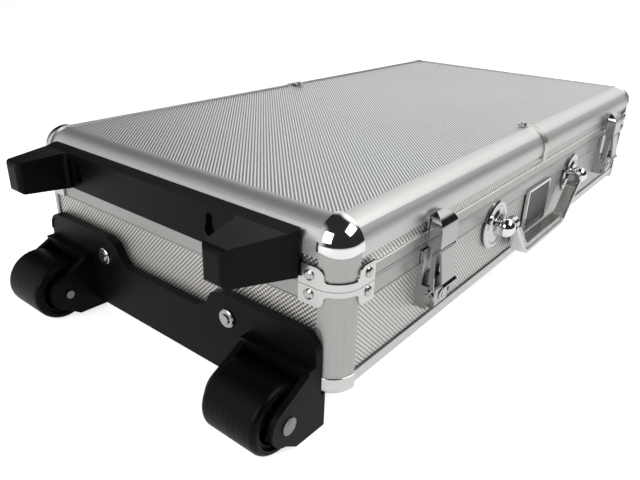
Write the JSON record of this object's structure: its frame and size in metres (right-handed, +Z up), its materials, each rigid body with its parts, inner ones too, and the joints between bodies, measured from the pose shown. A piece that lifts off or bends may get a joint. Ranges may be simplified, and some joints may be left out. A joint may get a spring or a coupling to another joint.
{
  "type": "mahjong set case",
  "caption": "Wheeled aluminium mahjong case lying flat: hinged lid, draw latches, drop handle, trolley handle, foam compartments for tiles and racks",
  "frame": {"origin": "middle of the outer box on the floor, case lying on its back", "axes": "+X from the wheel end to the trolley end, +Y from the latch side to the hinge side, +Z up"},
  "size_m": [0.6478, 0.315, 0.1337],
  "materials": {
    "skinned_board": "embossed skin on board",
    "satin_rail": "satin",
    "bright_rail": "satin, bright",
    "nickel_bracket": "satin nickel",
    "chrome": "polished",
    "rivet_steel": "bright",
    "badge_face": "dark, bare",
    "black_moulding": "fine grain",
    "wheel_tread": "smooth",
    "wheel_hub": "matte",
    "tray_foam": "flocked foam",
    "pad_foam": "foam",
    "grip_rubber": "ribbed",
    "tube_metal": "drawn"
  },
  "bodies": {
    "base": {"base_bottom_panel": "skinned_board", "base_front_panel": "skinned_board", "base_rear_panel": "skinned_board", "base_wheel_end_panel": "skinned_board", "base_trolley_end_panel": "skinned_board", "base_bottom_rails": "satin_rail", "base_frame_rails": "satin_rail", "base_corner_posts": "satin_rail", "base_corner_caps": "satin_rail", "base_corner_brackets": "nickel_bracket", "base_corner_rivets": "rivet_steel", "badge_frame": "chrome", "badge_plate": "badge_face", "latch_base_plates": "chrome", "latch_lock_housings": "chrome", "latch_lock_cylinders": "rivet_steel", "latch_hasp_pins": "rivet_steel", "handle_escutcheons": "chrome", "handle_ball_studs": "chrome", "wheel_bracket": "black_moulding", "wheel_axles": "rivet_steel", "bracket_bolts": "rivet_steel", "trolley_outer_tubes": "tube_metal", "trolley_housing": "black_moulding", "trolley_housing_screws": "rivet_steel", "hinge_base_leaves": "nickel_bracket", "hinge_pins": "rivet_steel", "tile_tray": "tray_foam"},
    "lid": {"lid_top_panel": "skinned_board", "lid_front_strip": "skinned_board", "lid_rear_strip": "skinned_board", "lid_wheel_end_strip": "skinned_board", "lid_trolley_end_strip": "skinned_board", "lid_edge_rails": "bright_rail", "lid_frame_rails": "satin_rail", "lid_corner_posts": "satin_rail", "lid_corner_balls": "chrome", "lid_corner_brackets": "nickel_bracket", "lid_corner_rivets": "rivet_steel", "lid_centre_clips": "nickel_bracket", "lid_foam_pad": "pad_foam", "latch_keepers": "chrome", "stand_bar": "black_moulding", "stand_bar_screws": "rivet_steel", "hinge_lid_leaves": "nickel_bracket"},
    "carry_handle": {"carry_handle_bow": "chrome", "carry_handle_grip": "grip_rubber"},
    "near_hasp": {"near_latch_hasp": "chrome"},
    "near_lever": {"near_latch_lever": "chrome"},
    "far_hasp": {"far_latch_hasp": "chrome"},
    "far_lever": {"far_latch_lever": "chrome"},
    "near_wheel": {"near_wheel_tyre": "wheel_tread", "near_wheel_hub": "wheel_hub"},
    "far_wheel": {"far_wheel_tyre": "wheel_tread", "far_wheel_hub": "wheel_hub"},
    "trolley": {"trolley_inner_tubes": "tube_metal", "trolley_grip": "black_moulding"},
    "button": {"trolley_button": "black_moulding"}
  },
  "joints": [
    {"name": "lid_hinge", "type": "hinge", "parent": "base", "child": "lid", "pos_m": [0.0053, 0.15238, 0.0934], "axis": [-1, 0, 0], "range_deg": [0, 100]},
    {"name": "carry_handle_swing", "type": "hinge", "parent": "base", "child": "carry_handle", "pos_m": [0.0053, -0.15012, 0.074], "axis": [-1, 0, 0], "range_deg": [0, 170]},
    {"name": "near_hasp_swing", "type": "hinge", "parent": "base", "child": "near_hasp", "pos_m": [-0.1817, -0.14852, 0.0615], "axis": [1, 0, 0], "range_deg": [0, 85]},
    {"name": "near_lever_fold", "type": "hinge", "parent": "near_hasp", "child": "near_lever", "pos_m": [-0.1817, -0.15102, 0.0934], "axis": [-1, 0, 0], "range_deg": [0, 80]},
    {"name": "far_hasp_swing", "type": "hinge", "parent": "base", "child": "far_hasp", "pos_m": [0.1923, -0.14852, 0.0615], "axis": [1, 0, 0], "range_deg": [0, 85]},
    {"name": "far_lever_fold", "type": "hinge", "parent": "far_hasp", "child": "far_lever", "pos_m": [0.1923, -0.15102, 0.0934], "axis": [-1, 0, 0], "range_deg": [0, 80]},
    {"name": "near_wheel_spin", "type": "hinge", "parent": "base", "child": "near_wheel", "pos_m": [-0.3021, -0.10342, 0.0218], "axis": [0, 1, 0], "continuous": true},
    {"name": "far_wheel_spin", "type": "hinge", "parent": "base", "child": "far_wheel", "pos_m": [-0.3021, 0.11138, 0.0218], "axis": [0, 1, 0], "continuous": true},
    {"name": "trolley_pull", "type": "slide", "parent": "base", "child": "trolley", "axis": [1, 0, 0], "range_m": [0, 0.38]},
    {"name": "button_press", "type": "slide", "parent": "trolley", "child": "button", "axis": [-1, 0, 0], "range_m": [0, 0.002], "stiffness_N_per_m": 500, "springref_m": -0.001}
  ]
}
